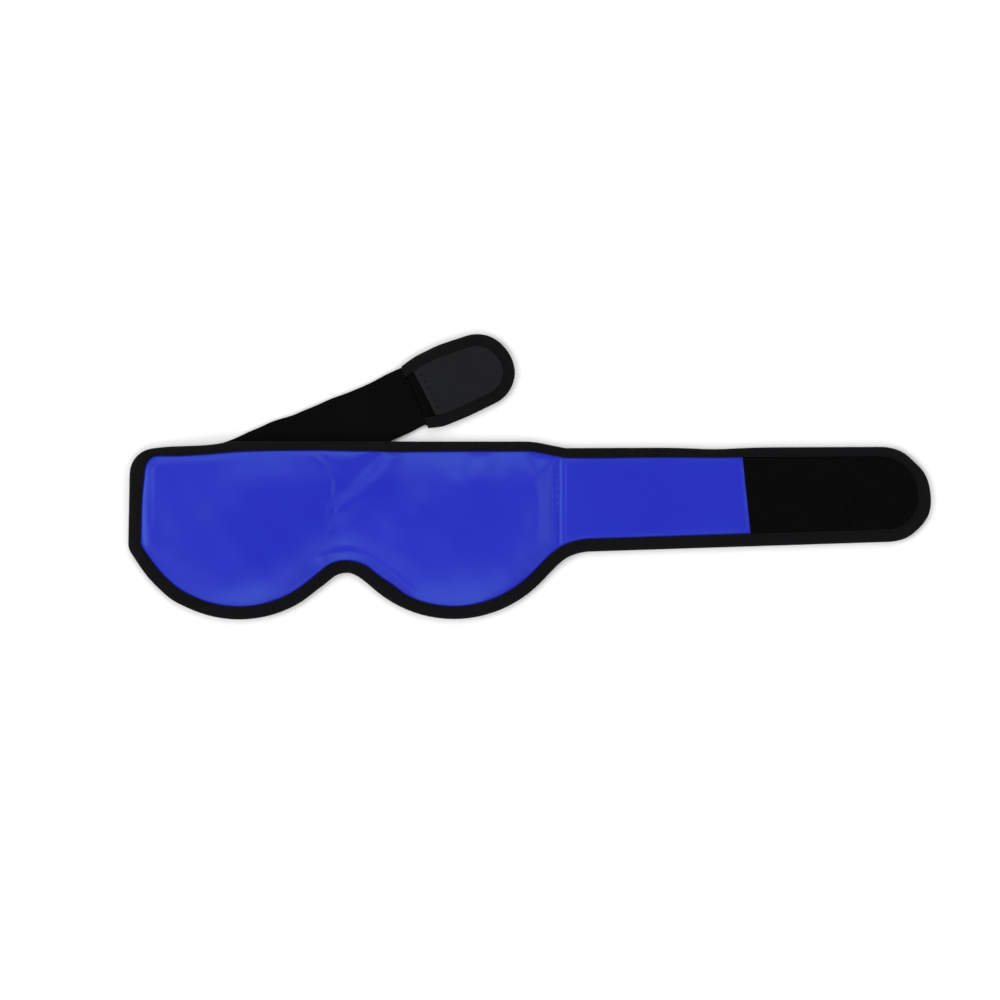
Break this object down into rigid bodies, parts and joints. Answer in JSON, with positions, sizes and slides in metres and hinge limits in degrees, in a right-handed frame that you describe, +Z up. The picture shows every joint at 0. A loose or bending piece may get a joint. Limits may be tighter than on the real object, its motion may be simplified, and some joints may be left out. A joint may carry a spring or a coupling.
{
  "type": "gel eye pillow",
  "caption": "Padded gel eye pillow with a nose arch, bound edges and hook-and-loop head straps, one of them folded behind it.",
  "frame": {"origin": "on the resting surface, straight under the line where the pillow folds over the nose", "axes": "+X along the right strap, +Y towards the forehead edge, +Z up out of the face"},
  "size_m": [0.3895, 0.138, 0.0113],
  "materials": {
    "face_cloth": "smooth laminated cloth, satin",
    "back_cloth": "soft brushed cloth, matte",
    "binding_tape": "folded knitted tape, matte",
    "thread": "sewing thread",
    "pouch_film": "clear film, glossy",
    "gel": "soft translucent gel",
    "core_foam": "thin soft foam, matte",
    "loop_pile": "loop pile, matte",
    "hook_pile": "fine plastic hooks",
    "elastic": "woven elastic, matte"
  },
  "bodies": {
    "left_pad": {"front_cover_left": "face_cloth", "back_cover_left": "back_cloth", "pouch_front_left": "pouch_film", "pouch_back_left": "pouch_film", "gel_left": "gel", "binding_left": "binding_tape", "binding_stitches_left": "thread", "strap_anchor": "elastic", "anchor_stitches": "thread"},
    "right_pad": {"front_cover_right": "face_cloth", "back_cover_right": "back_cloth", "pouch_front_right": "pouch_film", "pouch_back_right": "pouch_film", "gel_right": "gel", "binding_right": "binding_tape", "binding_stitches_right": "thread", "seam_stitches": "thread"},
    "right_strap": {"strap_face": "face_cloth", "strap_foam": "core_foam", "strap_lining": "back_cloth", "strap_binding": "binding_tape", "strap_binding_stitches": "thread", "loop_patch": "loop_pile", "loop_patch_stitches": "thread"},
    "left_strap": {"elastic_strap": "elastic"},
    "hook_tab": {"tab_backing": "back_cloth", "tab_foam": "core_foam", "tab_binding": "binding_tape", "tab_binding_stitches": "thread", "hook_patch": "hook_pile", "hook_patch_stitches": "thread", "tab_join_stitches": "thread"}
  },
  "joints": [
    {"name": "bridge_fold", "type": "hinge", "parent": "left_pad", "child": "right_pad", "pos_m": [0, 0, 0.00585], "axis": [0, -1, 0], "range_deg": [0, 150]},
    {"name": "right_strap_fold", "type": "hinge", "parent": "right_pad", "child": "right_strap", "pos_m": [0.1028, 0, -0.0003], "axis": [0, 1, 0], "range_deg": [0, 180]},
    {"name": "left_strap_fold", "type": "hinge", "parent": "left_pad", "child": "left_strap", "pos_m": [-0.0985, -0.001, 0.0009], "axis": [-0.1977, 0.9803, 0], "range_deg": [0, 180]},
    {"name": "elastic_stretch", "type": "slide", "parent": "left_strap", "child": "hook_tab", "axis": [0.9219, 0.3875, 0], "range_m": [0, 0.05], "stiffness_N_per_m": 110, "deforming": ["elastic_strap"]}
  ]
}
